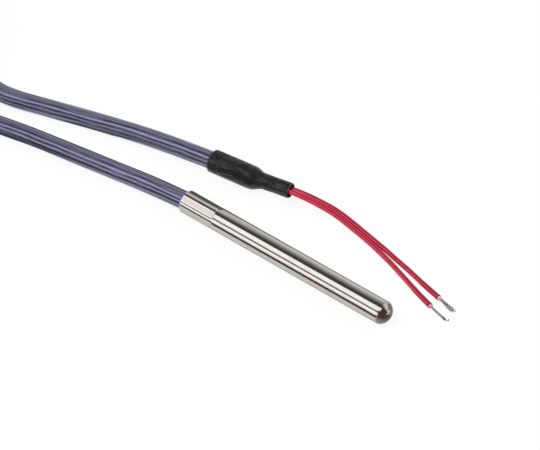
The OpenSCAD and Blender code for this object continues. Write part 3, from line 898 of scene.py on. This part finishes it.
def add_card(name, rows, stops):
    """A strip of the studio that only gloss shows. rows are pairs of points, from V 0 to V 1."""
    mesh = bmesh.new()
    uv = mesh.loops.layers.uv.new("UVMap")
    made = [[mesh.verts.new(p) for p in row] for row in rows]
    steps = len(rows) - 1
    for i in range(steps):
        face = mesh.faces.new((made[i][0], made[i][1], made[i + 1][1], made[i + 1][0]))
        for loop, (u, v) in zip(face.loops, ((0, i), (1, i), (1, i + 1), (0, i + 1))):
            loop[uv].uv = (u, v / steps)
    data = bpy.data.meshes.new(name)
    mesh.to_mesh(data)
    mesh.free()
    piece = link(name, data)
    piece.data.materials.append(glow_finish(name, stops))
    only_seen_by(piece, glossy=True)


def panel(name, x_span, *levels):
    """A curved strip about the sheath's axis. Levels are (angle from +Y over +Z, own light)."""
    first, last, steps = levels[0][0], levels[-1][0], 16
    rows = []
    for i in range(steps + 1):
        a = math.radians(first + (last - first) * i / steps)
        y, z = PANEL_R * math.cos(a), AXIS_Z + PANEL_R * math.sin(a)
        rows.append([(x, y, z) for x in x_span])
    add_card(name, rows, [((turn - first) / (last - first), level) for turn, level in levels])


def floor_card(name, x_span, y_span, *levels):
    """A card on the floor. Levels are (share of the way along X, own light)."""
    height = 0.0003
    add_card(name, [[(x, y, height) for y in y_span] for x in x_span], levels)


def add_lamp(name, location, size, power):
    """A square lamp that looks at the probe's middle."""
    data = bpy.data.lights.new(name, "AREA")
    data.shape, data.size, data.energy = "SQUARE", size, power
    lamp = bpy.data.objects.new(name, data)
    lamp.location = location
    lamp.rotation_mode = "QUATERNION"
    lamp.rotation_quaternion = (-Vector(location)).to_track_quat("-Z", "Y")
    lamp.visible_glossy = False
    bpy.context.scene.collection.objects.link(lamp)


def add_strips():
    """Curved strips over the probe. Their X is where the rays from the camera's side reach them."""
    sheath_side, crimp_side, tube_side = (-1.3, 0.1), (-1.3, -0.36), (-0.36, 0.1)
    tip_side, tip_near, tip_far, past_tip = (0.1, 0.4), (0.1, 0.26), (0.26, 0.4), (0.4, 0.8)
    right_side = (0.1, 0.8)
    panel("back_sweep", tube_side, (0, 0.72), (24, 0.82), (42, 0.56), (57, 0.32), (71, 0.14),
          (84, SOOT))
    panel("crimp_sweep", crimp_side, (0, 0.2), (18, 0.3), (36, 0.8), (50, 1.08), (58, 0.82),
          (71, 0.3), (84, SOOT))
    panel("top_flag", sheath_side, (84, SOOT), (105, 0.08))
    panel("top_softbox", sheath_side, (105, PANEL_GLOW), (142, PANEL_GLOW))
    panel("gap_flag", sheath_side, (142, 0.2), (157, 0.2))
    panel("front_softbox", sheath_side, (157, PANEL_GLOW), (187, PANEL_GLOW))
    panel("right_sweep", right_side, (0, OLIVE), (22, OLIVE), (32, BEIGE), (60, BEIGE), (76, 0.1))
    panel("right_flag", right_side, (76, 0.1), (102, 0.07))
    panel("right_softbox", tip_side, (102, TIP_GLOW), (134, TIP_GLOW))
    panel("right_gap", tip_side, (134, BROWN), (158, BROWN))
    panel("right_front_softbox", tip_near, (158, TIP_GLOW), (187, TIP_GLOW))
    panel("right_front_flag", tip_far, (158, BROWN), (187, BROWN))
    panel("past_tip_flag", past_tip, (102, BROWN), (187, BROWN))


def add_floor_cards():
    """What the sheath's lower half and its tip show of the floor."""
    start_x, crimp_x, before_tip, far_x = -0.13, -0.0245, TIP_X - 0.002, 0.8
    past_tip, back_from, back_to = TIP_X + 0.007, TIP_X - 0.004, TIP_X + 0.008
    front, near, contact = (-0.03, -0.008), (-0.008, -0.003), (-0.003, -0.0005)
    back, behind = (0.0035, 0.009), (0.0035, 0.59)
    under_tip, past_it = (-0.03, 0.0035), (-0.5, 0.0035)
    floor_card("front_card", (start_x, before_tip), front, (0, BROWN), (1, BROWN))
    # The near cards are the floor in the probe's soft shadow, and the contact card is its darker
    # shadow along the probe: painted shadow, for the sheath's lower edge to reflect
    floor_card("crimp_near_card", (start_x, crimp_x), near, (0, 0.9), (1, 0.9))
    floor_card("near_card", (crimp_x, before_tip), near, (0, 0.82), (1, 0.82))
    floor_card("contact_shadow_card", (start_x, before_tip), contact, (0, GREY), (1, GREY))
    floor_card("tip_near_card", (before_tip, past_tip), under_tip,
               (0, GREY), (0.5, DARK_GREY), (1, BROWN))
    floor_card("tip_card", (past_tip, far_x), past_it, (0, BROWN), (1, BROWN))
    floor_card("back_card", (start_x, back_from), back, (0, OLIVE), (1, OLIVE))
    floor_card("tip_back_card", (back_from, back_to), behind, (0, OLIVE), (1, OLIVE))
    floor_card("wedge_card", (back_to, far_x), behind, (0, OLIVE), (0.02, BEIGE), (1, BEIGE))


def add_upright_cards():
    """Low flags close behind the sheath, and a tall flag and sweep far beyond its tip."""
    back_y, back_top, crimp_top = 0.0075, 0.0056, 0.0072
    crimp_start, tube_start, tip_start, tip_end = -0.0365, -0.026, TIP_X - 0.002, TIP_X + 0.006
    for name, x_span, top, near, far in (
        ("crimp_back_flag", (crimp_start, tube_start), crimp_top, DARK_GREY, DARK_GREY),
        ("tube_back_flag", (tube_start, tip_start), back_top, BROWN, GREY),
        ("tip_back_flag", (tip_start, tip_end), back_top, OLIVE, OLIVE),
    ):
        rows = [[(x, back_y, z) for z in (0, top)] for x in x_span]
        add_card(name, rows, [(0, near), (1, far)])
    end_x, end_top = 0.8, 0.75
    for name, y_span, stops in (
        ("end_flag", (-0.62, 0.28), [(0, BROWN), (1, 0.06)]),
        ("end_sweep", (0.28, 0.62), [(0, BEIGE), (0.5, BEIGE), (1, OLIVE)]),
    ):
        add_card(name, [[(end_x, y, z) for y in y_span] for z in (0, end_top)], stops)


def add_studio():
    add_world()
    add_floor()
    add_lamp("key", (-0.3, -0.6, 1.1), 0.8, 12.0)
    add_lamp("fill", (0.5, 0.7, 0.9), 0.8, 5.0)
    add_strips()
    add_floor_cards()
    add_upright_cards()


# ---- The scene ------------------------------------------------------------------------------

def build():
    add_camera()
    red = dress_inner_nodes()
    cable, cable_line = make_cable()
    sleeve = make_sleeve()
    make_sheath()
    ties = [make_tie("tie_a", "hank_tie_a"), make_tie("tie_b", "hank_tie_b")]
    wire_a, line_a = make_wire("red_wire_a", WIRE_A_ROUTE, 1, red, "tail_wire_a")
    wire_b, line_b = make_wire("red_wire_b", WIRE_B_ROUTE, -1, red, "tail_wire_b")
    fray_a = make_fray("fray_a", line_a, 1.3 * MM)
    fray_b = make_fray("fray_b", line_b, 0.5 * MM)
    add_studio()
    bpy.context.scene.view_settings.view_transform = "Standard"


build()
